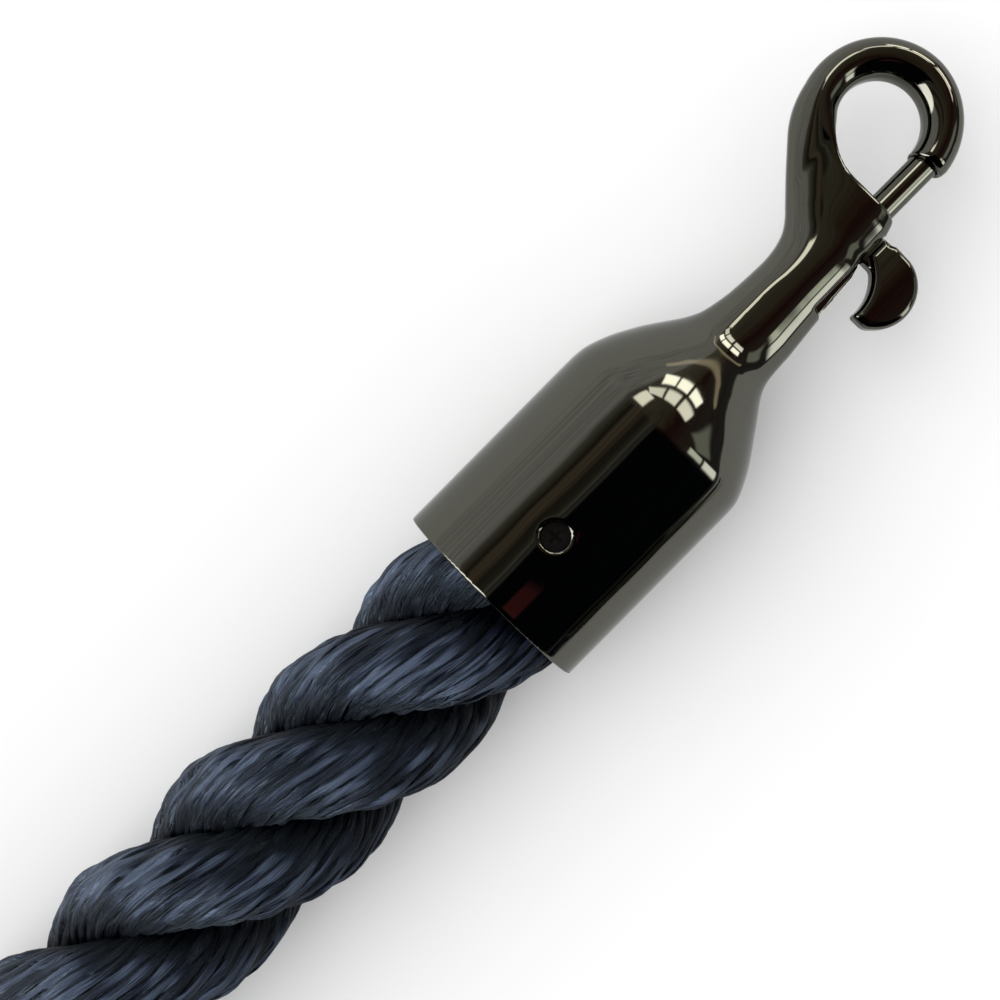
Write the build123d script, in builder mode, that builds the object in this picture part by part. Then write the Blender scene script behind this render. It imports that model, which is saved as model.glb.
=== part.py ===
from build123d import *
import os
from math import pi, radians, tan

# Barrier rope: a three-strand rope, folded once on the floor, with a cap and snap hook on each end.
# Frame: origin on the floor, midway between the two end fittings, +Z up, +Y from the rope to the
# hooks, +X from the near fitting to the far one. Each fitting is drawn in a frame of its own, whose
# origin is at the middle of the cap's mouth, +Y along the cap to the hook and +Z up, and is then placed.

# Rope
rope_diameter = 36.5
rope_in_cap = 28.0  # length of rope inside each cap
tape_thickness = 0.5
tape_start = 2.0  # from the rope's cut end
tape_width = 20.0

# Cap: a cup with a shoulder and a neck
cap_diameter = 42.0
fitting_length = 132.8  # from the cap's mouth to the top of the hook
cap_wall = 1.8
cap_straight = 45.0  # length of the cup before its shoulder
cup_depth = 34.0  # straight part of the cup's inside
cup_floor = 46.0  # where the cup's tapered bottom ends
cup_floor_radius = 14.0
mouth_chamfer = 0.5
neck_top = 88.0
neck_top_radius = 6.3
screw_hole_radius = 2.75
screw_position = 16.7  # from the cap's mouth

# Web and hook: one flat casting with rounded sides, which gets thinner towards the hook
web_start = 66.0
flat_half_at_mouth = 10.78  # half its thickness, were it as long as the cap
flat_slope = 0.0484  # what each flat side loses per mm along it
casting_rounding = 2.9
barrel_top = 104.4
nose_end = 116.5

# Latch: bolt, thumb lever, spring and plug
bolt_x = 0.95  # the bolt's axis, beside the cap's axis
bolt_radius = 2.85
bolt_clearance = 0.07
bolt_bottom = 92.0
bolt_top = 119.5
bolt_chamfer = 0.5
latch_travel = 13.0
socket_end = 121.5
lever_thickness = 5.5
lever_rounding = 0.9
lever_root_thickness = 3.2
lever_body_x = 7.4  # where the lever gets its full thickness, clear of the barrel
lever_root_low = 95.0
lever_root_high = 101.0
slot_clearance = 0.2
lip_x = 5.05  # how far out the slot's upper lip is cut back
peg_radius = 1.3
peg_end = -0.6
plug_low = 54.0
plug_high = 58.0
spring_wire = 0.7
spring_turns = 9
spring_radius = 2.2

# Rope screws
screw_head_radius = 2.6
screw_head_height = 1.6
screw_head_recess = 2.0  # from the cap's surface to the head
screw_shank_radius = 1.5
screw_length = 11.0
drive_width = 0.7
drive_length = 3.0
drive_depth = 0.9

# Where the fittings lie
leg_spacing = 250.0
near_x = -122.1
far_x = near_x + leg_spacing
mouth_y = -fitting_length / 2
cap_radius = cap_diameter / 2
cup_radius = cap_radius - cap_wall
bore_radius = bolt_radius + bolt_clearance
fittings = {"near": near_x, "far": far_x}

# The rope's route, from inside the near cap to inside the far one. It leaves each cap along the
# cap's axis and comes down to lie on the floor.
rope_radius = rope_diameter / 2
rope_end_y = mouth_y + rope_in_cap
route_points = [
    (near_x, rope_end_y, cap_radius),
    (near_x, -270.0, rope_radius),
    (-136.0, -555.0, rope_radius),
    (4.0, -636.0, rope_radius),
    (140.0, -550.0, rope_radius),
    (far_x, -266.0, rope_radius),
    (far_x, rope_end_y, cap_radius),
]


def bend_radii(points):
    """The easiest bend at each inner point: 0.45 of its shorter run over the tangent of half the turn."""
    radii = []
    for before, here, after in zip(points, points[1:], points[2:]):
        run_in = Vector(here) - Vector(before)
        run_out = Vector(after) - Vector(here)
        half_turn = radians(run_in.get_angle(run_out)) / 2
        radii.append(0.45 * min(run_in.length, run_out.length) / tan(half_turn))
    return radii


def place(piece, name, x):
    """A fitting's piece where the fitting lies, labelled and written out."""
    placed = piece.moved(Location((x, mouth_y, cap_radius)))
    placed.label = name
    export_step(placed, f"parts/{name}.step")
    return placed


# ---------------------------------------------------------------- web and hook
# The outline, seen from above, from the neck up the left side, round the hook and nose, and down the
# right side of the barrel. It is extruded, thinned towards the hook and rounded along its outline,
# save for the nose's square end.
ring_left = (-25.7, 111.8)
eye_left = (-17.3, 111.0)
with BuildPart() as web:
    with BuildSketch(Plane.XY):
        with BuildLine():
            flank = FilletPolyline((-7.0, web_start), (-8.0, 87.6), (-20.2, 102.2), radius=9)
            outer = TangentArc(flank @ 1, ring_left, tangent=flank % 1)
            ring = ThreePointArc(outer @ 1, (-22.4, 127.9), (-10.4, fitting_length))
            brow = ThreePointArc(ring @ 1, (0.3, 127.6), (4.65, 118.4))
            nose = Polyline(brow @ 1, (4.4, nose_end + 0.4), (-2.5, nose_end - 0.5))
            eye = ThreePointArc(nose @ 1, (-10.5, 124.7), eye_left)
            top = FilletPolyline(eye @ 1, (-12.4, barrel_top), (4.5, barrel_top), radius=12)
            barrel = Polyline(top @ 1, (5.3, 101.8), (6.2, 90.0), (7.0, web_start), flank @ 0)
        make_face()
    extrude(amount=cap_radius / 2, both=True)
    with BuildSketch(Plane.YZ):
        half_low = flat_half_at_mouth - flat_slope * web_start
        half_high = flat_half_at_mouth - flat_slope * 140
        Polygon(
            (web_start, half_low),
            (140, half_high),
            (140, -half_high),
            (web_start, -half_low),
            align=None,
        )
    extrude(amount=40, both=True, mode=Mode.INTERSECT)
    for side in (Axis.Z, -Axis.Z):
        rim = web.faces().sort_by(side)[-1].edges().sort_by(Axis.Y)[1:]
        fillet(rim.sort_by_distance((bolt_x, nose_end, 0))[1:], radius=casting_rounding)

# ---------------------------------------------------------------- cap, neck and hook in one casting
with BuildPart() as cap_hook:
    with BuildSketch(Plane.XY):
        with BuildLine():
            outside = FilletPolyline(
                (cap_radius, 0),
                (cap_radius, cap_straight),
                (18.9, 51.4),
                (9.1, 65.4),
                (7.4, 79.0),
                (neck_top_radius, neck_top),
                radius=[9, 12, 7, 20],
            )
            inside = Polyline(
                outside @ 1,
                (0, neck_top),
                (0, cup_floor),
                (cup_floor_radius, cup_floor),
                (cup_radius, cup_depth),
                (cup_radius, 0),
                outside @ 0,
            )
        make_face()
    revolve(axis=Axis.Y)
    add(web.part)
    # The bolt's bore, from the cup to the top of the barrel, and the nose's socket on the same axis.
    with BuildSketch(Plane.XZ.offset(-cup_floor)):
        with Locations((bolt_x, 0)):
            Circle(bore_radius)
    extrude(amount=cup_floor - socket_end, mode=Mode.SUBTRACT)
    # The lever's slot, through the right side of the barrel, and its upper lip cut back.
    with BuildSketch(Plane.XY):
        with Locations((bolt_x, lever_root_low - latch_travel - slot_clearance)):
            Rectangle(
                12,
                latch_travel + lever_root_high - lever_root_low + 2 * slot_clearance,
                align=(Align.MIN, Align.MIN),
            )
    extrude(
        amount=lever_root_thickness / 2 + slot_clearance,
        both=True,
        mode=Mode.SUBTRACT,
    )
    with BuildSketch(Plane.XY):
        with Locations((lip_x, lever_root_low - latch_travel - slot_clearance)):
            Rectangle(
                6,
                latch_travel + lever_root_high - lever_root_low + 2 * slot_clearance,
                align=(Align.MIN, Align.MIN),
            )
    extrude(amount=6, mode=Mode.SUBTRACT)
    # The two screw holes, opposite each other in the cap's wall.
    with BuildSketch(Plane.XY):
        with Locations((0, screw_position)):
            Circle(screw_hole_radius)
    extrude(amount=cap_radius + 1, both=True, mode=Mode.SUBTRACT)
    mouth = cap_hook.edges().filter_by(GeomType.CIRCLE).group_by(Axis.Y)[0]
    chamfer(mouth, length=mouth_chamfer)

# ---------------------------------------------------------------- bolt, spring and plug
with BuildPart() as latch_bolt:
    with BuildSketch(Plane.XZ.offset(-bolt_bottom)):
        with Locations((bolt_x, 0)):
            Circle(bolt_radius)
    extrude(amount=bolt_bottom - bolt_top)
    ends = latch_bolt.edges().filter_by(GeomType.CIRCLE)
    chamfer(ends, length=bolt_chamfer)
    # The cross hole that takes the lever's peg.
    lever_root_middle = (lever_root_low + lever_root_high) / 2
    with BuildSketch(Plane.YZ.offset(peg_end)):
        with Locations((lever_root_middle, 0)):
            Circle(peg_radius)
    extrude(amount=bolt_x + bolt_radius - peg_end, mode=Mode.SUBTRACT)

with BuildPart() as bore_plug:
    with BuildSketch(Plane.XZ.offset(-plug_low)):
        with Locations((bolt_x, 0)):
            Circle(bore_radius)
    extrude(amount=plug_low - plug_high)

spring_low = plug_high + spring_wire / 2
spring_high = bolt_bottom - spring_wire / 2
with BuildPart() as latch_spring:
    with BuildLine():
        coil = Helix(
            pitch=(spring_high - spring_low) / spring_turns,
            height=spring_high - spring_low,
            radius=spring_radius,
            center=(bolt_x, spring_low, 0),
            direction=(0, 1, 0),
        )
    with BuildSketch(Plane(origin=coil @ 0, z_dir=coil % 0)):
        Circle(spring_wire / 2)
    sweep(is_frenet=True)

# ---------------------------------------------------------------- thumb lever
# A crescent that reaches out from the barrel and curls down towards the cap, with a thinner root in
# the slot and a peg in the bolt.
with BuildPart() as thumb_lever:
    with BuildSketch(Plane.XY):
        with BuildLine():
            back = Line((lever_body_x, lever_root_high), (12.0, lever_root_high))
            crest = ThreePointArc(back @ 1, (17.9, 96.0), (16.8, 87.8))
            tip = TangentArc(crest @ 1, (11.5, 86.6), tangent=crest % 1)
            belly = ThreePointArc(tip @ 1, (10.2, 91.4), (lever_body_x, lever_root_low))
            Line(belly @ 1, back @ 0)
        make_face()
    extrude(amount=lever_thickness / 2, both=True)
    for side in (Axis.Z, -Axis.Z):
        rim = thumb_lever.faces().sort_by(side)[0].edges()
        fillet(rim.sort_by(Axis.X)[1:], radius=lever_rounding)
    with BuildSketch(Plane.XY):
        with Locations((bolt_x, lever_root_middle)):
            Rectangle(7.5, lever_root_high - lever_root_low, align=(Align.MIN, Align.CENTER))
    extrude(amount=lever_root_thickness / 2, both=True)
    with BuildSketch(Plane.XZ.offset(-bolt_bottom)):
        with Locations((bolt_x, 0)):
            Circle(bolt_radius)
    extrude(amount=bolt_bottom - bolt_top, mode=Mode.SUBTRACT)
    with BuildSketch(Plane.YZ.offset(peg_end)):
        with Locations((lever_root_middle, 0)):
            Circle(peg_radius)
    extrude(amount=bolt_x + bolt_radius - peg_end)

# ---------------------------------------------------------------- rope screws
head_top = cap_radius - screw_head_recess
head_bottom = head_top - screw_head_height
with BuildPart() as rope_screws:
    for side in (1, -1):
        across = Plane(origin=(0, screw_position, 0), z_dir=(0, 0, side))
        with BuildSketch(across.offset(head_bottom)):
            Circle(screw_head_radius)
        extrude(amount=screw_head_height)
        with BuildSketch(across.offset(head_top - screw_length)):
            Circle(screw_shank_radius)
        extrude(amount=screw_length - screw_head_height)
        with BuildSketch(across.offset(head_top - drive_depth)):
            Rectangle(drive_length, drive_width)
            Rectangle(drive_width, drive_length)
        extrude(amount=drive_depth, mode=Mode.SUBTRACT)

# ---------------------------------------------------------------- rope and the tape on its ends
radii = bend_radii(route_points)
with BuildPart() as rope:
    with BuildLine():
        route = FilletPolyline(*route_points, radius=radii)
    with BuildSketch(Plane(origin=route @ 0, z_dir=route % 0)):
        Circle(rope_radius)
    sweep()
    for x in fittings.values():
        for side in (1, -1):
            across = Plane(origin=(x, mouth_y + screw_position, cap_radius), z_dir=(0, 0, side))
            with BuildSketch(across.offset(head_bottom)):
                Circle(screw_head_radius)
            extrude(amount=screw_head_height + 1, mode=Mode.SUBTRACT)
            with BuildSketch(across.offset(head_top - screw_length)):
                Circle(screw_shank_radius)
            extrude(amount=screw_length - screw_head_height, mode=Mode.SUBTRACT)
rope.part.label = "rope"

print("bend radii, mm:", [round(r, 1) for r in radii])
print("route length, mm:", round(route.length, 1))
print("tube volume over section times length:", round(rope.part.volume / (pi * rope_radius**2 * route.length), 4))

tapes = {}
for end, x in fittings.items():
    start = route @ 0 if end == "near" else route @ 1
    along = route % 0 if end == "near" else -(route % 1)
    wrapped = Plane(origin=start, z_dir=along)
    with BuildPart() as rope_tape:
        with BuildSketch(wrapped.offset(tape_start)):
            Circle(rope_radius + tape_thickness)
            Circle(rope_radius, mode=Mode.SUBTRACT)
        extrude(amount=tape_width)
        with BuildSketch(Plane(origin=(x, mouth_y + screw_position, cap_radius))):
            Circle(screw_head_radius)
        extrude(amount=cap_radius, both=True, mode=Mode.SUBTRACT)
    rope_tape.part.label = f"{end}_rope_tape"
    tapes[end] = rope_tape.part

# ---------------------------------------------------------------- the whole object
os.makedirs("parts", exist_ok=True)
export_step(rope.part, "parts/rope.step")
fitting_pieces = {
    "cap_hook": cap_hook.part,
    "latch_bolt": latch_bolt.part,
    "thumb_lever": thumb_lever.part,
    "latch_spring": latch_spring.part,
    "bore_plug": bore_plug.part,
    "rope_screws": rope_screws.part,
}
for end, x in fittings.items():
    for name, piece in fitting_pieces.items():
        place(piece, f"{end}_{name}", x)
    export_step(tapes[end], f"parts/{end}_rope_tape.step")
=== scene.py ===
import bpy
import numpy as np
from mathutils import Matrix, Vector
from math import cos, radians, sin, sqrt, tau


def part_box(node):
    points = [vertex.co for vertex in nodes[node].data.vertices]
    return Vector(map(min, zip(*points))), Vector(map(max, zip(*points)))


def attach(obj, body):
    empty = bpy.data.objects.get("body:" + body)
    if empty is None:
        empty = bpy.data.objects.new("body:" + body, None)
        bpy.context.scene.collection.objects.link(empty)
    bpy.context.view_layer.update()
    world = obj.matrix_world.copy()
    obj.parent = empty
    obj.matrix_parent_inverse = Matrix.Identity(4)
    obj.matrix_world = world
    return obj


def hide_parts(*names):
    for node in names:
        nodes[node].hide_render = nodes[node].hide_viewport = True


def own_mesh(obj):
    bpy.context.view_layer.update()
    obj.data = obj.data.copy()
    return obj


# A barrier rope with a cap and snap hook on each end. Lengths are in metres in the frame, and in
# millimetres in each fitting's own drawing: x to the right of the cap's axis, y along the axis from
# the cap's mouth to the hook, z up. The drawing's outlines follow the CAD model's, save that the
# shoulder, neck, hook and lever are up to about 1 mm nearer to the photograph.
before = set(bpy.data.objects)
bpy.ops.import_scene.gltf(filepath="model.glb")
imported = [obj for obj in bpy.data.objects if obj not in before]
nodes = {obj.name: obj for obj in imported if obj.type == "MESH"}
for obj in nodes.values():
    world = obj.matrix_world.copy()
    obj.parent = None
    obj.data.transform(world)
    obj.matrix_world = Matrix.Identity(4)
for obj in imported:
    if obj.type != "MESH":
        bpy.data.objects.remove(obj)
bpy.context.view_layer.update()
MM = 0.001

# ------------------------------------------------------------------ driving sizes, in millimetres
CAP_RADIUS = 21.0
CUP_RADIUS = 19.2
CUP_DEPTH = 34.0
CUP_FLOOR = 46.0
CUP_FLOOR_RADIUS = 14.0
# The cap's, shoulder's and neck's corners: how far from the mouth, and how wide from the axis.
CORNERS_Y = [0, 45.8, 51.8, 58.0, 65.4, 79.0, 92.0]
CORNERS_RADIUS = [21.0, 21.0, 18.4, 14.45, 9.1, 7.0, 5.3]
CORNER_EASE = 1.7  # how far along the axis each corner is spread
# The shoulder and neck stand a little to the left of the cap.
LEAN_Y = [45.0, 57.0, 65.0, 73.0]
LEAN_X = [0, -0.75, -0.85, -0.1]
NECK_TOP = 92.0
NECK_FLATTENED = 0.1  # the part of its depth that the neck loses
WEB_START = 57.0
WEB_FOOT_FILLET = 4.0
FLAT_HALF_AT_MOUTH = 10.78  # half the web's thickness, were it as long as the cap
FLAT_SLOPE = 0.0484  # what each flat side loses per mm along it
SCREW_Y = 16.7
SCREW_HOLE_RADIUS = 2.68
BARREL_TOP = 104.4
NOSE_END = 116.5
HOOK_TOP = 132.8
BOLT_X = 0.95
BORE_RADIUS = 2.92
SOCKET_END = 121.5
SLOT_LOW, SLOT_HIGH = 81.8, 101.2
SLOT_HALF = 1.8
LIP_X = 5.05
LEVER_LOW, LEVER_HIGH = 95.0, 101.0
LEVER_BODY_X = 7.4
LEVER_TOP_X = 5.5
LEVER_HALF = 2.75
LEVER_ROOT_HALF = 1.6
SPRING_TURNS = 9
SPRING_WIRE = 0.7
SPRING_RADIUS = 2.2
SPRING_LOW, SPRING_HIGH = 58.35, 91.65
ROPE_IN_CAP = 28.0
CAST_GRID = 0.52  # cell of the grid that the casting is meshed on
LEVER_GRID = 0.25

# Where each fitting's drawing sits: the cap's right side and mouth are its CAD box's edges.
ends = {}
for end in ("near", "far"):
    low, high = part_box(f"{end}_cap_hook")
    ends[end] = Vector((high.x - CAP_RADIUS * MM, low.y, CAP_RADIUS * MM))


# ------------------------------------------------------------------ outlines and implicit shapes
def arc(a, via, b, step=0.25):
    """Points along the circle through three points, from a to b, without a itself."""
    (ax, ay), (vx, vy), (bx, by) = a, via, b
    d = 2 * (ax * (vy - by) + vx * (by - ay) + bx * (ay - vy))
    a2, v2, b2 = ax * ax + ay * ay, vx * vx + vy * vy, bx * bx + by * by
    cx = (a2 * (vy - by) + v2 * (by - ay) + b2 * (ay - vy)) / d
    cy = (a2 * (bx - vx) + v2 * (ax - bx) + b2 * (vx - ax)) / d
    radius = sqrt((ax - cx) ** 2 + (ay - cy) ** 2)
    t0, tv, t1 = (np.arctan2(y - cy, x - cx) for x, y in (a, via, b))
    turn = (t1 - t0) % tau
    if (tv - t0) % tau > turn:
        turn -= tau
    n = max(2, int(abs(turn) * radius / step))
    angles = [t0 + turn * i / n for i in range(1, n + 1)]
    return [(cx + radius * cos(angle), cy + radius * sin(angle)) for angle in angles]


def smooth_step(low, high, v):
    t = np.clip((v - low) / (high - low), 0, 1)
    return t * t * (3 - 2 * t)


def smooth_max(a, b, k):
    """The larger of two fields, with a fillet about k wide where they meet."""
    h = np.clip(0.5 + 0.5 * (a - b) / k, 0, 1)
    return b + (a - b) * h + k * h * (1 - h)


def smooth_min(a, b, k):
    return -smooth_max(-a, -b, k)


def signed_distance(outline, x, y):
    """Distance from each grid point to a closed outline, negative inside it."""
    p = np.array(outline, float)
    q = np.roll(p, -1, axis=0)
    nearest = np.full(x.shape, 1e9)
    inside = np.zeros(x.shape, bool)
    for (ax, ay), (bx, by) in zip(p, q):
        ex, ey = bx - ax, by - ay
        along = np.clip(((x - ax) * ex + (y - ay) * ey) / (ex * ex + ey * ey + 1e-12), 0, 1)
        nearest = np.minimum(nearest, (x - ax - along * ex) ** 2 + (y - ay - along * ey) ** 2)
        if ay != by:
            inside ^= ((ay > y) != (by > y)) & (x < ex * (y - ay) / ey + ax)
    return np.where(inside, -1, 1) * np.sqrt(nearest)


def rounded_wall(wall, z, half, width, depth):
    """A slab of half thickness half, cut off at wall = 0, with an edge rounded over width and depth."""
    across = np.maximum(wall * depth / width + depth, 0)
    up = np.maximum(np.abs(z) - half + depth, 0)
    corner = np.sqrt(across**2 + up**2) - depth
    return np.where((across > 0) & (up > 0), corner, np.maximum(wall * depth / width, np.abs(z) - half))


def net(field, low, step):
    """A quad mesh of the field's zero surface: one point in each cell it crosses, and its normals."""
    sign = field < 0
    corners = [(i, j, k) for i in (0, 1) for j in (0, 1) for k in (0, 1)]
    nx, ny, nz = (n - 1 for n in field.shape)
    count = sum(sign[i : nx + i, j : ny + j, k : nz + k].astype(np.int8) for i, j, k in corners)
    cells = np.argwhere((count > 0) & (count < 8))
    index = np.full((nx, ny, nz), -1)
    index[tuple(cells.T)] = np.arange(len(cells))
    value = {c: field[tuple((cells + c).T)] for c in corners}
    total = np.zeros((len(cells), 3))
    crossings = np.zeros(len(cells))
    for c in corners:
        for axis in range(3):
            if c[axis] == 0:
                d = tuple(v + (n == axis) for n, v in enumerate(c))
                crossed = (value[c] < 0) != (value[d] < 0)
                t = np.where(crossed, value[c] / np.where(crossed, value[c] - value[d], 1), 0)
                point = np.tile(np.array(c, float), (len(cells), 1))
                point[:, axis] += t
                total += point * crossed[:, None]
                crossings += crossed
    inner = total / crossings[:, None]
    points = np.array(low) + (cells + inner) * step
    quads = []
    for axis in range(3):
        u, v = (axis + 1) % 3, (axis + 2) % 3
        ahead = [slice(1, -1)] * 3
        ahead[axis] = slice(0, -1)
        beyond = list(ahead)
        beyond[axis] = slice(1, None)
        changed = np.argwhere(sign[tuple(ahead)] != sign[tuple(beyond)])
        changed[:, u] += 1
        changed[:, v] += 1
        ring = []
        for du, dv in ((-1, -1), (0, -1), (0, 0), (-1, 0)):
            cell = changed.copy()
            cell[:, u] += du
            cell[:, v] += dv
            ring.append(index[tuple(cell.T)])
        ring = np.stack(ring, axis=1)
        outward = sign[tuple(changed.T)]
        ring[~outward] = ring[~outward][:, ::-1]
        quads.append(ring)
    slope = np.stack(np.gradient(field), axis=-1)
    normals = np.zeros_like(points)
    for c in corners:
        share = np.prod(np.where(np.array(c), inner, 1 - inner), axis=1)
        normals += slope[tuple((cells + c).T)] * share[:, None]
    normals /= np.linalg.norm(normals, axis=1)[:, None] + 1e-12
    return points, np.concatenate(quads), normals


def grid(low, high, step):
    axes = [np.arange(a, b + step, step) for a, b in zip(low, high)]
    return np.meshgrid(*axes, indexing="ij")


def shown(name, points, quads, normals, place, body, slot, material):
    """A smooth mesh object of a fitting's piece, at its end's place, riding on its body."""
    mesh = bpy.data.meshes.new(name)
    mesh.from_pydata((points * MM + np.array(place)).tolist(), [], quads.tolist())
    mesh.polygons.foreach_set("use_smooth", np.ones(len(quads), bool))
    if normals is not None:
        mesh.normals_split_custom_set_from_vertices(normals.tolist())
    mesh.materials.append(material)
    piece = bpy.data.objects.new(name, mesh)
    bpy.context.scene.collection.objects.link(piece)
    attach(piece, body)
    return piece


# ------------------------------------------------------------------ materials
def material(name):
    made = bpy.data.materials.new(name)
    made.use_nodes = True
    tree = made.node_tree
    return made, tree, tree.nodes["Principled BSDF"]


def node(tree, kind, **values):
    made = tree.nodes.new(kind)
    for key, value in values.items():
        if key in made.inputs:
            made.inputs[key].default_value = value
        else:
            setattr(made, key, value)
    return made


def math_node(tree, operation, a, b=0.0, c=0.0):
    made = node(tree, "ShaderNodeMath", operation=operation)
    for socket, value in zip(made.inputs, (a, b, c)):
        if isinstance(value, (int, float)):
            socket.default_value = value
        else:
            tree.links.new(value, socket)
    return made.outputs[0]


def plated(name, colour, roughness):
    """Polished black nickel: a mirror with a faint unevenness from the casting under it and fine haze."""
    made, tree, shader = material(name)
    shader.inputs["Base Color"].default_value = (*colour, 1)
    shader.inputs["Metallic"].default_value = 1.0
    shader.inputs["Specular Tint"].default_value = (0.75, 0.75, 0.75, 1)
    where = node(tree, "ShaderNodeTexCoord").outputs["Object"]
    haze = node(tree, "ShaderNodeTexNoise", Scale=900.0, Detail=3.0)
    tree.links.new(where, haze.inputs["Vector"])
    spread = node(tree, "ShaderNodeMapRange")
    spread.inputs["To Min"].default_value = roughness * 0.6
    spread.inputs["To Max"].default_value = roughness * 1.5
    tree.links.new(haze.outputs["Fac"], spread.inputs["Value"])
    tree.links.new(spread.outputs[0], shader.inputs["Roughness"])
    uneven = node(tree, "ShaderNodeTexNoise", Scale=110.0, Detail=1.0)
    tree.links.new(where, uneven.inputs["Vector"])
    bump = node(tree, "ShaderNodeBump", Strength=0.06, Distance=0.001)
    tree.links.new(uneven.outputs["Fac"], bump.inputs["Height"])
    tree.links.new(bump.outputs["Normal"], shader.inputs["Normal"])
    return made


def plain_metal(name, colour, roughness, scale):
    """A turned or drawn metal with fine scratches."""
    made, tree, shader = material(name)
    shader.inputs["Metallic"].default_value = 1.0
    where = node(tree, "ShaderNodeTexCoord").outputs["Object"]
    grain = node(tree, "ShaderNodeTexNoise", Scale=scale, Detail=4.0)
    tree.links.new(where, grain.inputs["Vector"])
    tint = node(tree, "ShaderNodeValToRGB")
    tint.color_ramp.elements[0].color = (*[c * 0.7 for c in colour], 1)
    tint.color_ramp.elements[1].color = (*colour, 1)
    tree.links.new(grain.outputs["Fac"], tint.inputs["Fac"])
    tree.links.new(tint.outputs["Color"], shader.inputs["Base Color"])
    shader.inputs["Roughness"].default_value = roughness
    return made


def tape_cloth(name):
    made, tree, shader = material(name)
    where = node(tree, "ShaderNodeTexCoord").outputs["Object"]
    weave = node(tree, "ShaderNodeTexWave", Scale=900.0, Distortion=1.0)
    tree.links.new(where, weave.inputs["Vector"])
    tint = node(tree, "ShaderNodeValToRGB")
    tint.color_ramp.elements[0].color = (0.012, 0.012, 0.014, 1)
    tint.color_ramp.elements[1].color = (0.03, 0.03, 0.034, 1)
    tree.links.new(weave.outputs["Fac"], tint.inputs["Fac"])
    tree.links.new(tint.outputs["Color"], shader.inputs["Base Color"])
    shader.inputs["Roughness"].default_value = 0.8
    return made


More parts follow.
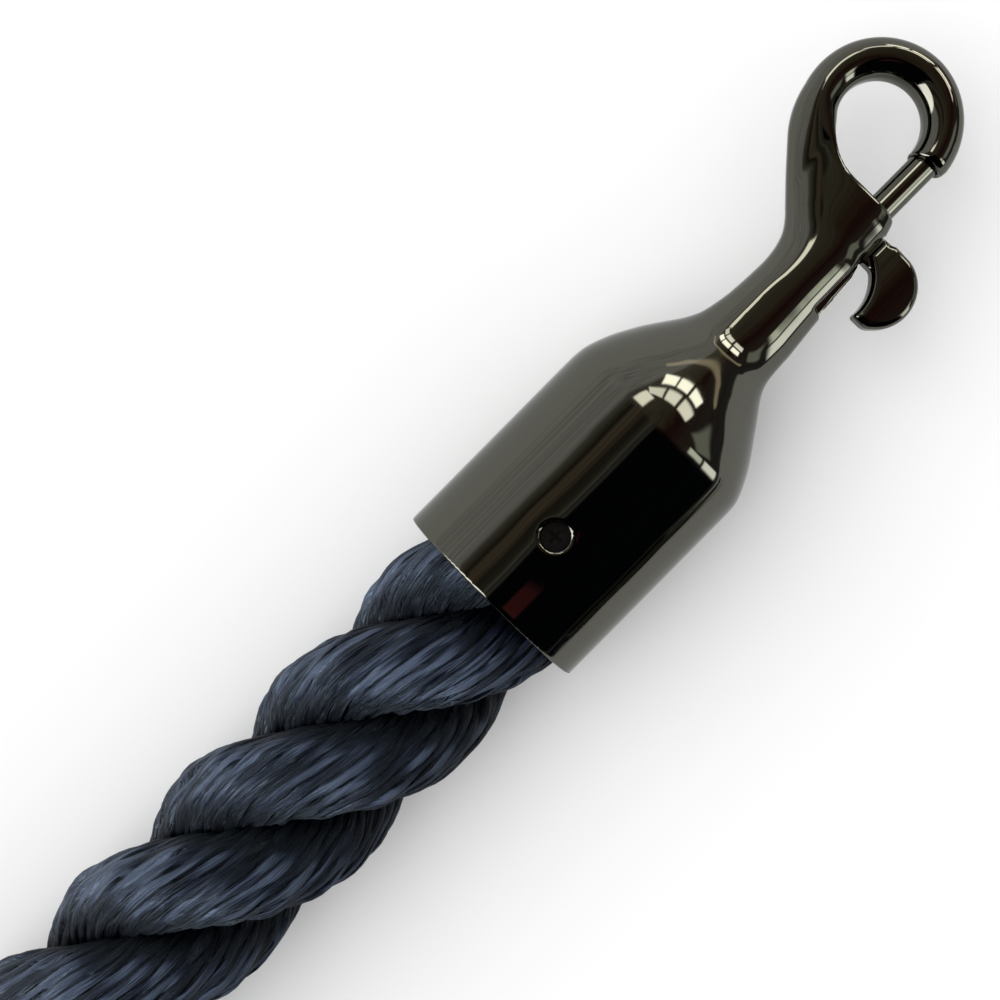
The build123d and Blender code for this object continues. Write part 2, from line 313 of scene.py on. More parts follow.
def rope_fibre(name):
    """Satin filament yarn. The rope's map has the yarn's number across and the way along it in mm."""
    made, tree, shader = material(name)
    laid = node(tree, "ShaderNodeUVMap", uv_map="yarn").outputs["UV"]
    parts = node(tree, "ShaderNodeSeparateXYZ")
    tree.links.new(laid, parts.inputs["Vector"])
    across, along = parts.outputs["X"], parts.outputs["Y"]

    def contrast(value, low, high):
        """Noise keeps near its middle, so its middle part is spread from low to high."""
        spread = node(tree, "ShaderNodeMapRange")
        for socket, number in (("From Min", 0.3), ("From Max", 0.7), ("To Min", low), ("To Max", high)):
            spread.inputs[socket].default_value = number
        tree.links.new(value, spread.inputs["Value"])
        return spread.outputs[0]

    def streaks(count, length, detail):
        """Noise drawn out along the yarn: count streaks to a yarn, each about length mm long."""
        place = node(tree, "ShaderNodeCombineXYZ")
        tree.links.new(math_node(tree, "MULTIPLY", across, count), place.inputs["X"])
        tree.links.new(math_node(tree, "MULTIPLY", along, 1 / length), place.inputs["Y"])
        noise = node(tree, "ShaderNodeTexNoise", noise_dimensions="2D", Scale=1.0, Detail=detail)
        tree.links.new(place.outputs["Vector"], noise.inputs["Vector"])
        return contrast(noise.outputs["Fac"], 0.0, 1.0)

    filament = streaks(9.0, 7.0, 3.0)
    bundle = streaks(1.5, 8.0, 1.0)
    fine = math_node(tree, "MULTIPLY_ADD", filament, 0.7, 0.2)
    # Each yarn is darkened where it meets the next one: painted shade in the slit between yarns.
    middle = math_node(tree, "ABSOLUTE", math_node(tree, "SUBTRACT", math_node(tree, "FRACT", across), 0.5))
    edge = node(tree, "ShaderNodeMapRange", interpolation_type="SMOOTHSTEP")
    for socket, value in (("From Min", 0.33), ("From Max", 0.48), ("To Min", 1.0), ("To Max", 0.02)):
        edge.inputs[socket].default_value = value
    tree.links.new(middle, edge.inputs["Value"])
    # Each yarn has a shade of its own, which drifts along it.
    own = node(tree, "ShaderNodeCombineXYZ")
    tree.links.new(math_node(tree, "MULTIPLY", math_node(tree, "FLOOR", across), 7.3), own.inputs["X"])
    tree.links.new(math_node(tree, "MULTIPLY", along, 0.08), own.inputs["Y"])
    shade = node(tree, "ShaderNodeTexNoise", noise_dimensions="2D", Scale=1.0, Detail=1.0)
    tree.links.new(own.outputs["Vector"], shade.inputs["Vector"])
    own_shade = contrast(shade.outputs["Fac"], 0.08, 0.74)
    light = math_node(tree, "MULTIPLY", math_node(tree, "ADD", fine, bundle), own_shade)
    light = math_node(tree, "MULTIPLY", light, edge.outputs[0])
    # Painted highlight and painted shade: each strand is painted lighter on its crown and darker deep in
    # the grooves between strands.
    painted_crown_and_groove_shading = node(tree, "ShaderNodeMapRange", interpolation_type="SMOOTHSTEP")
    for socket, value in (("From Min", 0.66), ("From Max", 0.98), ("To Min", 0.05), ("To Max", 1.5)):
        painted_crown_and_groove_shading.inputs[socket].default_value = value
    crown = node(tree, "ShaderNodeAttribute", attribute_name="crown")
    tree.links.new(crown.outputs["Fac"], painted_crown_and_groove_shading.inputs["Value"])
    light = math_node(tree, "MULTIPLY", light, painted_crown_and_groove_shading.outputs[0])
    tint = node(tree, "ShaderNodeValToRGB")
    tint.color_ramp.elements.new(0.42)
    shades = [
        (0.04, (0.0003, 0.0004, 0.0012, 1)),
        (0.42, (0.0046, 0.0060, 0.0128, 1)),
        (0.88, (0.0300, 0.0395, 0.0610, 1)),
    ]
    for element, (position, colour) in zip(tint.color_ramp.elements, shades):
        element.position = position
        element.color = colour
    tree.links.new(light, tint.inputs["Fac"])
    tree.links.new(tint.outputs["Color"], shader.inputs["Base Color"])
    shader.inputs["Roughness"].default_value = 0.44
    shader.inputs["Specular Tint"].default_value = (0.62, 0.80, 1.0, 1)
    shader.inputs["Specular IOR Level"].default_value = 0.20
    shader.inputs["Anisotropic"].default_value = 0.9
    tangent = node(tree, "ShaderNodeTangent", direction_type="UV_MAP", uv_map="yarn")
    tree.links.new(tangent.outputs["Tangent"], shader.inputs["Tangent"])
    bump = node(tree, "ShaderNodeBump", Strength=0.8, Distance=0.0005)
    tree.links.new(math_node(tree, "ADD", filament, bundle), bump.inputs["Height"])
    tree.links.new(bump.outputs["Normal"], shader.inputs["Normal"])
    return made


gunmetal = (0.088, 0.087, 0.073)
casting_finish = plated("black_nickel_casting", gunmetal, 0.05)
latch_finish = plated("black_nickel_latch", gunmetal, 0.04)
spring_finish = plain_metal("spring_steel", (0.55, 0.55, 0.53), 0.3, 900.0)
plug_finish = plain_metal("turned_brass", (0.62, 0.47, 0.22), 0.35, 700.0)
screw_finish = plain_metal("black_oxide_steel", (0.05, 0.05, 0.052), 0.4, 800.0)
tape_finish = tape_cloth("tape_cloth")
fibre = rope_fibre("rope_fibre")


# ------------------------------------------------------------------ cap and hook casting
def casting_field(x, y, z):
    """The casting: a turned cap and neck, and a flat web, barrel, ring and nose with rounded sides."""
    flat_x, flat_y = x[:, :, 0], y[:, :, 0]

    # Cap, shoulder and neck: the profile's corners are eased by averaging it along the axis.
    fine = np.arange(-20, 150, 0.1)
    ease = np.exp(-0.5 * (np.arange(-60, 61) * 0.1 / CORNER_EASE) ** 2)
    profile = np.convolve(np.interp(fine, CORNERS_Y, CORNERS_RADIUS), ease / ease.sum(), "same")
    steep = np.gradient(profile, fine)
    radius, slope = np.interp(y, fine, profile), np.interp(y, fine, steep)
    flatten = 1 - NECK_FLATTENED * smooth_step(62, 72, y)
    lean = np.interp(y, LEAN_Y, LEAN_X)
    turned = (np.sqrt((x - lean) ** 2 + (z / flatten) ** 2) - radius) / np.sqrt(1 + slope**2)
    turned = smooth_max(turned, y - NECK_TOP, 2.0)
    turned = smooth_max(turned, -y, 0.5)

    # Web and hook. Each wall of the outline has a rounding of its own.
    flank = [(-6.9, 60.0), (-7.1, 80.0)] + arc((-7.1, 80.0), (-8.6, 87.6), (-12.3, 92.6))
    outer = flank + [(-16.5, 97.0)] + arc((-21.2, 102.2), (-24.4, 106.8), (-26.1, 111.8))
    outer += arc((-26.1, 111.8), (-22.3, 127.9), (-10.4, HOOK_TOP))
    outer += arc((-10.4, HOOK_TOP), (0.75, 127.6), (5.0, 118.4))
    outer += [(4.3, 115.0), (40.0, 112.0), (40.0, 60.0)]
    eye = arc((-2.5, 116.0), (-10.5, 124.7), (-17.3, 111.0))
    eye += arc((-16.4, 109.6), (-12.6, 106.0), (-6.4, BARREL_TOP))
    eye += [(40.0, BARREL_TOP), (40.0, 112.0), (-2.4, 112.0)]
    # The front and back are slightly crowned across the web and the plate above it.
    middle = np.interp(y, [60, 90, 97, 104], [-0.8, -1.0, -3.5, -5.0])
    crown = np.minimum((x - middle) ** 2 / 110, 1.0) * (1 - smooth_step(100, 108, y))
    flat_half = FLAT_HALF_AT_MOUTH - FLAT_SLOPE * y - crown
    outer_wall = signed_distance(outer, flat_x, flat_y)[:, :, None]
    eye_wall = -signed_distance(eye, flat_x, flat_y)[:, :, None]
    nose_line = NOSE_END + 0.13 * (x - BOLT_X)
    nose_wall = np.minimum(np.minimum(nose_line - y, y - 110.0), x + 7.0)
    right_edge = np.interp(y, [66.0, 82.0, 90.0, 101.8, BARREL_TOP], [6.7, 6.0, 6.0, 5.3, 4.5])
    right_wall = np.minimum(x - right_edge, 108.0 - y)
    outer_width = 4.2 + 3.8 * smooth_step(76, 94, y) * (1 - smooth_step(100, 114, y))
    eye_width = 0.9 + 3.2 * smooth_step(106, 113, y)
    full = 0.92 * flat_half
    web = rounded_wall(outer_wall, z, flat_half, outer_width, full)
    web = smooth_max(web, rounded_wall(eye_wall, z, flat_half, eye_width, eye_width), 0.3)
    web = smooth_max(web, rounded_wall(nose_wall, z, flat_half, 1.6, 2.2), 0.3)
    web = smooth_max(web, rounded_wall(right_wall, z, flat_half, 6.2, 0.8 * flat_half), 0.3)
    web = smooth_max(web, WEB_START - y, 0.5)
    solid = smooth_min(turned, web, WEB_FOOT_FILLET)

    # The inside of the cup, the bolt's bore and its socket in the nose.
    inside_radius = np.interp(y, [CUP_DEPTH, CUP_FLOOR], [CUP_RADIUS, CUP_FLOOR_RADIUS])
    round_axis = np.sqrt(x**2 + z**2)
    cup = np.maximum(round_axis - inside_radius, y - CUP_FLOOR)
    solid = smooth_max(solid, -cup, 0.5)
    bore = np.maximum(np.sqrt((x - BOLT_X) ** 2 + z**2) - BORE_RADIUS, y - SOCKET_END)
    solid = smooth_max(solid, -np.maximum(bore, CUP_FLOOR - 2 - y), 0.25)

    # The lever's slot, with its upper lip cut back.
    across_slot = np.maximum(SLOT_LOW - y, y - SLOT_HIGH)
    slot = np.maximum(np.maximum(np.abs(z) - SLOT_HALF, BOLT_X - x), across_slot)
    lip = np.maximum(np.maximum(LIP_X - x, -z), across_slot)
    solid = smooth_max(solid, -slot, 0.3)
    solid = smooth_max(solid, -lip, 0.3)

    # The screw holes, each in a faint dish.
    from_screw = np.hypot(x, y - SCREW_Y)
    solid += 0.12 * np.exp(-((from_screw / 4.5) ** 2)) * (np.abs(z) > CUP_RADIUS / 2)
    return smooth_max(solid, SCREW_HOLE_RADIUS - from_screw, 0.45)


cast_low, cast_high = (-28.0, -1.2, -22.2), (22.2, 134.4, 22.2)
cast = net(casting_field(*grid(cast_low, cast_high, CAST_GRID)), cast_low, CAST_GRID)
for end, place in ends.items():
    piece = shown(f"{end}_casting", *cast, place, "root", "casting", casting_finish)
    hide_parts(f"{end}_cap_hook")


# ------------------------------------------------------------------ thumb lever
def lever_field(x, y, z):
    """The lever: a crescent with a rounded rim, and a thinner root that reaches the bolt."""
    flat_x, flat_y = x[:, :, 0], y[:, :, 0]
    outline = [(LEVER_TOP_X, LEVER_HIGH), (7.2, LEVER_HIGH + 0.1), (8.2, 101.6), (12.0, 101.4)]
    outline += arc((12.0, 101.4), (18.5, 95.6), (15.9, 87.2))
    outline += arc((15.9, 87.2), (14.8, 86.4), (13.4, 86.2))
    outline += [(12.0, 86.2)] + arc((12.0, 86.2), (11.5, 86.4), (11.4, 87.0))
    outline += arc((11.4, 87.0), (10.0, 92.6), (LEVER_TOP_X, 96.4))
    wall = signed_distance(outline, flat_x, flat_y)[:, :, None]
    crescent = rounded_wall(wall, z, LEVER_HALF - 0.012 * (x - 12) ** 2, 1.3, 1.5)
    crescent = smooth_max(crescent, np.minimum(LEVER_BODY_X - x, 0.3 - z), 0.3)
    across_root = np.abs(y - (LEVER_LOW + LEVER_HIGH) / 2) - (LEVER_HIGH - LEVER_LOW) / 2
    beyond = np.maximum(np.maximum(x - 9.0, BOLT_X + 2.6 - x), across_root)
    root = np.maximum(beyond, np.abs(z) - LEVER_ROOT_HALF)
    return smooth_min(crescent, root, 0.5)


lever_low, lever_high = (2.5, 84.0, -3.5), (20.0, 102.5, 3.5)
lever = net(lever_field(*grid(lever_low, lever_high, LEVER_GRID)), lever_low, LEVER_GRID)
for end, place in ends.items():
    piece = shown(f"{end}_lever", *lever, place, f"{end}_latch_slide", "latch_metal", latch_finish)
    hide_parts(f"{end}_thumb_lever")


# ------------------------------------------------------------------ latch spring
def coil():
    """The spring's wire, as rings of points round a helix about the bolt's axis."""
    rows, around = SPRING_TURNS * 28, 10
    t = np.linspace(0, tau * SPRING_TURNS, rows + 1)[:, None]
    u = np.linspace(0, tau, around, endpoint=False)[None]
    reach = SPRING_RADIUS + SPRING_WIRE / 2 * np.cos(u)
    y = SPRING_LOW + (SPRING_HIGH - SPRING_LOW) * t / (tau * SPRING_TURNS) + SPRING_WIRE / 2 * np.sin(u)
    points = np.stack([BOLT_X + reach * np.cos(t), y, reach * np.sin(t)], axis=-1).reshape(-1, 3)
    corner = np.arange((rows + 1) * around).reshape(rows + 1, around)
    a, b = corner[:-1], corner[1:]
    quads = np.stack([a, b, np.roll(b, -1, 1), np.roll(a, -1, 1)], axis=-1).reshape(-1, 4)
    return points, quads


wire = coil()
for end, place in ends.items():
    piece = shown(f"{end}_spring_coil", *wire, None, place, "root", "spring_steel", spring_finish)
    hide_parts(f"{end}_latch_spring")
    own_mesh(piece)

finishes = {
    "latch_bolt": latch_finish,
    "bore_plug": plug_finish,
    "rope_screws": screw_finish,
    "rope_tape": tape_finish,
}
for end in ends:
    for name, finish in finishes.items():
        piece = nodes[f"{end}_{name}"]
        piece.data.materials.clear()
        piece.data.materials.append(finish)

# ------------------------------------------------------------------ rope
# The CAD route's points, in metres. The second is 1.6 mm to the right, to follow the photograph.
ROUTE = [
    (-0.1221, -0.0384, 0.021),
    (-0.1205, -0.270, 0.01825),
    (-0.136, -0.555, 0.01825),
    (0.004, -0.636, 0.01825),
    (0.140, -0.550, 0.01825),
    (0.1279, -0.266, 0.01825),
    (0.1279, -0.0384, 0.021),
]
LAY_LENGTH = 85.0  # of rope for one turn of its strands
LAY_START = 2.75  # turn of the first strand at the near cap's mouth
STRAND_RADIUS = 8.5
STRAND_OFFSET = 9.75
YARNS = 21
YARN_LENGTH = 52.0  # of strand for one turn of its yarns
YARN_DEPTH = 0.8
RING_STEP = 1.2
MOUTH_SQUEEZE = 0.045  # the part of its width that the rope loses inside the cap


def route_line():
    """The rope's centreline, in mm, read from a NURBS spline through the route's points."""
    curve = bpy.data.curves.new("rope_route", "CURVE")
    curve.dimensions = "3D"
    spline = curve.splines.new("NURBS")
    spline.points.add(len(ROUTE) - 1)
    for point, place in zip(spline.points, ROUTE):
        point.co = (*place, 1)
    spline.order_u = 3
    spline.use_endpoint_u = True
    spline.resolution_u = 48
    guide = bpy.data.objects.new("rope_route", curve)
    bpy.context.scene.collection.objects.link(guide)
    bpy.context.view_layer.update()
    mesh = bpy.data.meshes.new_from_object(guide)
    line = np.array([v.co for v in mesh.vertices]) / MM
    bpy.data.objects.remove(guide)
    bpy.data.meshes.remove(mesh)
    return line


def wander(rng, rows, along, lengths, size):
    """For each row, a slow unevenness along the rope: a few waves of seeded phase."""
    total = np.zeros((len(along), rows))
    for length in lengths:
        phase = rng.uniform(0, tau, rows)
        stretch = rng.uniform(0.8, 1.25, rows)
        total += np.sin(along[:, None] / length * tau * stretch + phase)
    return total * size / sqrt(len(lengths))


line = route_line()
steps = np.linalg.norm(np.diff(line, axis=0), axis=1)
distance = np.concatenate([[0], np.cumsum(steps)])
line_length = distance[-1]
rings = int(line_length / RING_STEP)
along = np.linspace(0, line_length, rings + 1)
centre = np.stack([np.interp(along, distance, line[:, k]) for k in range(3)], axis=1)
# The spline's own points are joined by short straight steps, so their corners are averaged out.
for _ in range(3):
    centre[1:-1] = (centre[:-2] + 2 * centre[1:-1] + centre[2:]) / 4
ahead = np.gradient(centre, axis=0)
ahead /= np.linalg.norm(ahead, axis=1)[:, None]
side = np.cross(ahead, (0, 0, 1))
side /= np.linalg.norm(side, axis=1)[:, None]
up = np.cross(side, ahead)
from_mouth = np.minimum(along, line_length - along) - ROPE_IN_CAP
squeeze = 1 - MOUTH_SQUEEZE * (1 - smooth_step(-2, 16, from_mouth))


def strand(number):
    """One strand: a helix round the rope's line, its surface ridged by yarns that run nearly straight."""
    rng = np.random.default_rng(number + 5)
    turn = LAY_START + tau * number / 3 - tau * (along - ROPE_IN_CAP) / LAY_LENGTH
    outward = side * np.cos(turn)[:, None] + up * np.sin(turn)[:, None]
    offset = STRAND_OFFSET * squeeze + wander(rng, 1, along, (70, 33), 0.10)[:, 0]
    middle = centre + outward * offset[:, None]
    lead = np.gradient(middle, axis=0)
    lead /= np.linalg.norm(lead, axis=1)[:, None]
    outward = outward - lead * (outward * lead).sum(1)[:, None]
    outward /= np.linalg.norm(outward, axis=1)[:, None]
    sideways = np.cross(lead, outward)
    strand_way = np.concatenate([[0], np.cumsum(np.linalg.norm(np.diff(middle, axis=0), axis=1))])

    # Four columns to a yarn: the slit beside it, its two shoulders and its crown.
    columns = np.array([0.0, 0.17, 0.5, 0.83])
    heights = np.array([-1.0, -0.2, 0.0, -0.2]) * YARN_DEPTH
    slit = wander(rng, YARNS, strand_way, (21, 11), 0.22)
    lift = wander(rng, YARNS, strand_way, (19, 11), 0.36)
    depth = np.clip(0.9 + wander(rng, YARNS, strand_way, (17, 9), 0.75), 0.1, 2.2)
    after = np.roll(slit, -1, axis=1)
    lift_before = np.roll(lift, 1, axis=1)
    across = np.zeros((len(along), YARNS, 4))
    rise = np.zeros((len(along), YARNS, 4))
    for i in range(4):
        share = columns[i]
        across[:, :, i] = np.arange(YARNS) + share + slit * (1 - share) + after * share
        rise[:, :, i] = heights[i] + lift
    rise[:, :, 0] = -YARN_DEPTH * depth + (lift + lift_before) / 2
    angle = tau * (across / YARNS) - tau * (strand_way / YARN_LENGTH)[:, None, None]
    radius = STRAND_RADIUS * squeeze[:, None, None] + rise
    n = YARNS * 4
    angle, radius = angle.reshape(-1, n, 1), radius.reshape(-1, n, 1)
    away = np.cos(angle) * outward[:, None] + np.sin(angle) * sideways[:, None]
    points = middle[:, None] + radius * away
    points[..., 2] = np.maximum(points[..., 2], 0)
    crown = (1 + np.cos(angle[..., 0])) / 2
    return points, strand_way, across.reshape(-1, n), crown


def strand_piece(number):
    points, way, across, crown = strand(number)
    rows, n = points.shape[:2]
    corner = np.arange(rows * n).reshape(rows, n)
    a, b = corner[:-1], corner[1:]
    quads = np.stack([a, np.roll(a, -1, 1), np.roll(b, -1, 1), b], axis=-1).reshape(-1, 4)
    ends_at = [points[0].mean(0), points[-1].mean(0)]
    vertices = np.concatenate([points.reshape(-1, 3), ends_at])
    first, last = rows * n, rows * n + 1
    fans = [(int(first), int((i + 1) % n), i) for i in range(n)]
    fans += [(int(last), int(corner[-1][i]), int(corner[-1][(i + 1) % n])) for i in range(n)]
    name = f"rope_strand_{number + 1}"
    mesh = bpy.data.meshes.new(name)
    mesh.from_pydata((vertices * MM).tolist(), [], quads.tolist() + fans)
    mesh.polygons.foreach_set("use_smooth", np.ones(len(mesh.polygons), bool))
    # The map: the yarn's number across, the way along the strand in mm.
    beside = np.roll(across, -1, 1)
    u = np.stack([across[:-1], beside[:-1], beside[1:], across[1:]], axis=-1)
    u[:, -1, 1:3] += YARNS
    v = np.broadcast_to(way[:, None], across.shape)
    v = np.stack([v[:-1], v[:-1], v[1:], v[1:]], axis=-1)
    flat = np.stack([u, v], axis=-1).reshape(-1, 2)
    layer = mesh.uv_layers.new(name="yarn")
    whole = np.zeros((len(mesh.loops), 2))
    whole[: len(flat)] = flat
    layer.data.foreach_set("uv", whole.ravel())
    # How far out on the rope each point lies: 0 deep between the strands, 1 on a strand's crown.
    outer = mesh.attributes.new("crown", "FLOAT", "POINT")
    outer.data.foreach_set("value", np.concatenate([crown.ravel(), [0, 0]]))
    mesh.materials.append(fibre)
    piece = bpy.data.objects.new(name, mesh)
    bpy.context.scene.collection.objects.link(piece)
    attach(piece, "root")
    return piece


strands = [strand_piece(number) for number in range(3)]
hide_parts("rope")
far_pieces = ["far_casting", "far_lever", "far_latch_bolt", "far_spring_coil", "far_bore_plug"]
far_pieces += ["far_rope_screws", "far_rope_tape", "near_rope_tape"]

# ------------------------------------------------------------------ camera, floor and light
# The camera looks straight down from 300 mm above the cap's axis, turned so that the cap points up
# and to the right.
near = ends["near"]
CAMERA_HEIGHT = 0.300
CAMERA_WIDTH = 0.191  # of the picture, at the height of the cap's axis
TURN = radians(45.3)
camera_data = bpy.data.cameras.new("camera")
camera_data.sensor_width = 36
camera_data.lens = 36 * CAMERA_HEIGHT / CAMERA_WIDTH
camera = bpy.data.objects.new("camera", camera_data)
bpy.context.scene.collection.objects.link(camera)
right, above = Vector((sin(TURN), cos(TURN), 0)), Vector((-cos(TURN), sin(TURN), 0))
spot = near + Vector((-0.0116, 0.0144, CAMERA_HEIGHT))
camera.matrix_world = Matrix.Translation(spot) @ Matrix((right, above, (0, 0, 1))).transposed().to_4x4()
bpy.context.scene.camera = camera

floor_mesh = bpy.data.meshes.new("floor")
reach = 25.0  # metres to each side, so that no view sees the floor end
floor_corners = [(-reach, -reach, 0), (reach, -reach, 0), (reach, reach, 0), (-reach, reach, 0)]
floor_mesh.from_pydata(floor_corners, [], [(0, 1, 2, 3)])
floor_finish, _, floor_shader = material("pale_floor")
floor_shader.inputs["Base Color"].default_value = (0.86, 0.86, 0.86, 1)
floor_shader.inputs["Roughness"].default_value = 0.9
floor_shader.inputs["Specular IOR Level"].default_value = 0.0
floor_mesh.materials.append(floor_finish)
floor = bpy.data.objects.new("floor", floor_mesh)
bpy.context.scene.collection.objects.link(floor)


def soft_sun(name, direction, strength, spread):
    data = bpy.data.lights.new(name, "SUN")
    data.energy = strength
    data.angle = radians(spread)
    lamp = bpy.data.objects.new(name, data)
    bpy.context.scene.collection.objects.link(lamp)
    lamp.rotation_euler = Vector(direction).to_track_quat("-Z", "Y").to_euler()
    return lamp


# A wide soft lamp from the left and behind. It has no reflection of its own: the room has those.
key = soft_sun("key", (0.62, 0.62, -0.95), 2.0, 75)
key.visible_glossy = False
# A narrower one, more from the rope's side, gives the fibres their satin bands. It lights the rope only.
satin = soft_sun("satin", (0.42, 0.80, -0.75), 6.5, 14)
lit_by_satin = bpy.data.collections.new("lit_by_satin")
for piece in strands:
    lit_by_satin.objects.link(piece)
satin.light_linking.receiver_collection = lit_by_satin

# The room, by direction. side_angle is 0 overhead and positive to the right, fore is positive ahead of
# the hook, and swing is 0 ahead and positive to the right. Only reflections see the room: to diffuse
# light and to the camera it is a plain pale surround.
world = bpy.data.worlds.new("room")
bpy.context.scene.world = world
world.use_nodes = True
room = world.node_tree
facing = node(room, "ShaderNodeSeparateXYZ")
room.links.new(node(room, "ShaderNodeTexCoord").outputs["Generated"], facing.inputs["Vector"])
fore, height = facing.outputs["Y"], facing.outputs["Z"]
side_angle = math_node(room, "ARCTAN2", facing.outputs["X"], height)
swing = math_node(room, "ARCTAN2", facing.outputs["X"], fore)


def step_up(value, start, stop):
    """0 below start, 1 above stop, smooth between."""
    step = node(room, "ShaderNodeMapRange", interpolation_type="SMOOTHSTEP")
    step.inputs["From Min"].default_value = start
    step.inputs["From Max"].default_value = stop
    room.links.new(value, step.inputs["Value"])
    return step.outputs[0]


def between(value, start, stop, soft):
    past = step_up(value, stop - soft, stop + soft)
    return math_node(room, "SUBTRACT", step_up(value, start - soft, start + soft), past)


def by_angle(stops):
    """A colour for each side angle, given in degrees."""
    ramp = node(room, "ShaderNodeValToRGB")
    elements = ramp.color_ramp.elements
    for _ in range(len(stops) - 2):
        elements.new(0.5)
    for element, (angle, colour) in zip(elements, stops):
        element.position = angle / 360 + 0.5
        element.color = (*colour, 1)
    room.links.new(math_node(room, "MULTIPLY_ADD", side_angle, 1 / tau, 0.5), ramp.inputs["Fac"])
    return ramp.outputs["Color"]


def mixed(factor, a, b):
    mix = node(room, "ShaderNodeMix", data_type="RGBA")
    room.links.new(factor, mix.inputs["Factor"])
    room.links.new(a, mix.inputs["A"])
    room.links.new(b, mix.inputs["B"])
    return mix.outputs["Result"]


BLACK = (0.004, 0.006, 0.010)
overhead = by_angle([
    (-100, (1.0, 1.0, 1.0)),
    (-50, (0.88, 0.88, 0.88)),
    (-46, (0.30, 0.29, 0.26)),
    (-40, (0.15, 0.14, 0.10)),
    (-36, (0.04, 0.035, 0.03)),
    (-32, (0.30, 0.24, 0.17)),
    (-25, (0.25, 0.18, 0.13)),
    (-20, (0.07, 0.065, 0.05)),
    (-12, (0.12, 0.11, 0.08)),
    (-9, (0.30, 0.29, 0.25)),
    (-7, (0.08, 0.08, 0.07)),
    (-5, (0.22, 0.22, 0.20)),
    (-3, BLACK),
    (86, BLACK),
    (92, (0.25, 0.25, 0.25)),
])
ahead_of_it = by_angle([
    (-100, (1.0, 1.0, 1.0)),
    (-52, (0.92, 0.92, 0.92)),
    (-47, (0.35, 0.32, 0.27)),
    (-26, (0.26, 0.23, 0.17)),
    (-12, (0.20, 0.18, 0.13)),
    (-2, (0.17, 0.14, 0.10)),
    (4, (0.13, 0.07, 0.05)),
    (9, (0.08, 0.03, 0.025)),
    (30, (0.13, 0.09, 0.08)),
    (86, (0.10, 0.10, 0.10)),
    (92, (0.35, 0.35, 0.34)),
])
seen = mixed(step_up(fore, 0.13, 0.22), overhead, ahead_of_it)

# Faint upright streaks, as on a wall of slats and shelves.
streak_place = node(room, "ShaderNodeCombineXYZ")
room.links.new(math_node(room, "MULTIPLY", side_angle, 26.0), streak_place.inputs["X"])
room.links.new(math_node(room, "MULTIPLY", fore, 3.0), streak_place.inputs["Y"])
streak = node(room, "ShaderNodeTexNoise", noise_dimensions="2D", Scale=1.0, Detail=2.0)
room.links.new(streak_place.outputs["Vector"], streak.inputs["Vector"])
strength = node(room, "ShaderNodeMapRange")
strength.inputs["From Min"].default_value = 0.3
strength.inputs["From Max"].default_value = 0.7
strength.inputs["To Min"].default_value = 0.75
strength.inputs["To Max"].default_value = 1.15
room.links.new(streak.outputs["Fac"], strength.inputs["Value"])
scaled = node(room, "ShaderNodeVectorMath", operation="SCALE")
room.links.new(seen, scaled.inputs[0])
room.links.new(strength.outputs[0], scaled.inputs["Scale"])
seen = scaled.outputs[0]

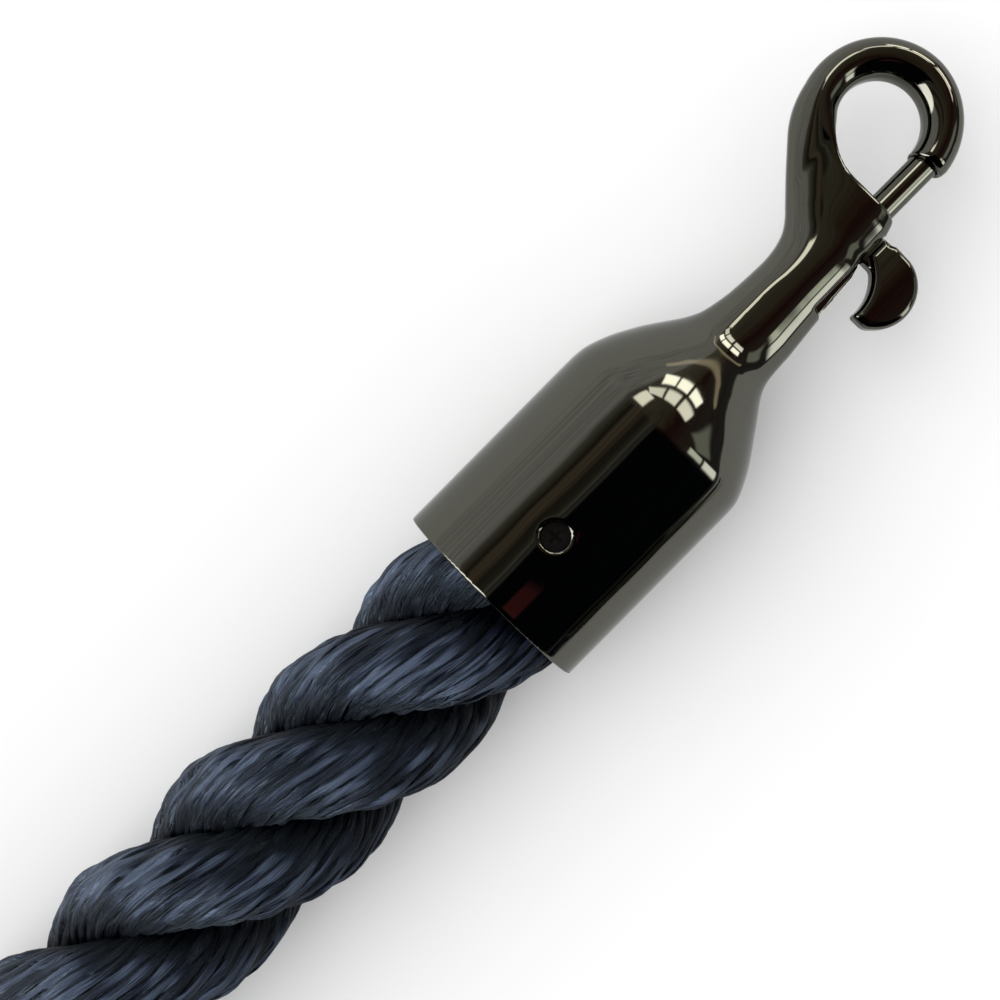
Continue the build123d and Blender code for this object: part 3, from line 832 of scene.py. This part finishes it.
# Bright panes: across, from, to and along, from, to, then how soft, how bright and what colour.
PANES = [
    (side_angle, radians(-42), radians(-28), fore, 0.24, 0.60, 0.03, 7.0, (1.0, 0.97, 0.88)),
    (side_angle, radians(38), radians(58), fore, 0.22, 0.37, 0.03, 4.0, (0.93, 1.0, 0.88)),
    (side_angle, radians(62), radians(84), fore, 0.20, 0.38, 0.03, 6.0, (0.98, 1.0, 0.97)),
    (swing, radians(-27), radians(-15), height, 0.34, 0.47, 0.015, 11.0, (1.0, 0.98, 0.90)),
    (swing, radians(-13), radians(-1), height, 0.34, 0.47, 0.015, 11.0, (1.0, 0.98, 0.90)),
    (swing, radians(2), radians(14), height, 0.34, 0.47, 0.015, 11.0, (1.0, 0.98, 0.90)),
    (swing, radians(-38), radians(-21), height, 0.52, 0.64, 0.02, 6.0, (1.0, 0.98, 0.90)),
    (swing, radians(-18), radians(-3), height, 0.52, 0.64, 0.02, 7.0, (1.0, 0.98, 0.90)),
    (swing, radians(1), radians(17), height, 0.52, 0.64, 0.02, 7.0, (1.0, 0.98, 0.90)),
    (swing, radians(-30), radians(24), height, 0.17, 0.21, 0.01, 1.6, (1.0, 0.85, 0.6)),
    (side_angle, radians(-85), radians(-8), fore, -0.97, -0.62, 0.04, 8.0, (1.0, 1.0, 1.0)),
    (swing, radians(32), radians(58), height, 0.30, 0.62, 0.05, 0.9, (0.9, 1.0, 0.85)),
    (side_angle, radians(15), radians(32), fore, -0.14, -0.03, 0.02, 0.2, (1.0, 0.2, 0.2)),
]
for across, start, stop, along_it, low, high, soft, bright, colour in PANES:
    one_way = between(across, start, stop, soft)
    other_way = between(along_it, low, high, soft)
    inside = math_node(room, "MULTIPLY", one_way, other_way)
    glow = node(room, "ShaderNodeVectorMath", operation="SCALE")
    glow.inputs[0].default_value = [bright * c for c in colour]
    room.links.new(inside, glow.inputs["Scale"])
    total = node(room, "ShaderNodeVectorMath", operation="ADD")
    room.links.new(seen, total.inputs[0])
    room.links.new(glow.outputs[0], total.inputs[1])
    seen = total.outputs[0]

ray = node(room, "ShaderNodeLightPath")
reflected = room.nodes["Background"]
room.links.new(seen, reflected.inputs["Color"])
fill = node(room, "ShaderNodeBackground", Color=(1, 1, 1, 1), Strength=0.78)
backdrop = node(room, "ShaderNodeBackground", Color=(1, 1, 1, 1), Strength=1.0)
plain = node(room, "ShaderNodeMixShader")
room.links.new(ray.outputs["Is Camera Ray"], plain.inputs["Fac"])
room.links.new(fill.outputs[0], plain.inputs[1])
room.links.new(backdrop.outputs[0], plain.inputs[2])
surround = node(room, "ShaderNodeMixShader")
room.links.new(ray.outputs["Is Glossy Ray"], surround.inputs["Fac"])
room.links.new(plain.outputs[0], surround.inputs[1])
room.links.new(reflected.outputs[0], surround.inputs[2])
room.links.new(surround.outputs[0], room.nodes["World Output"].inputs["Surface"])

bpy.context.scene.view_settings.view_transform = "Standard"
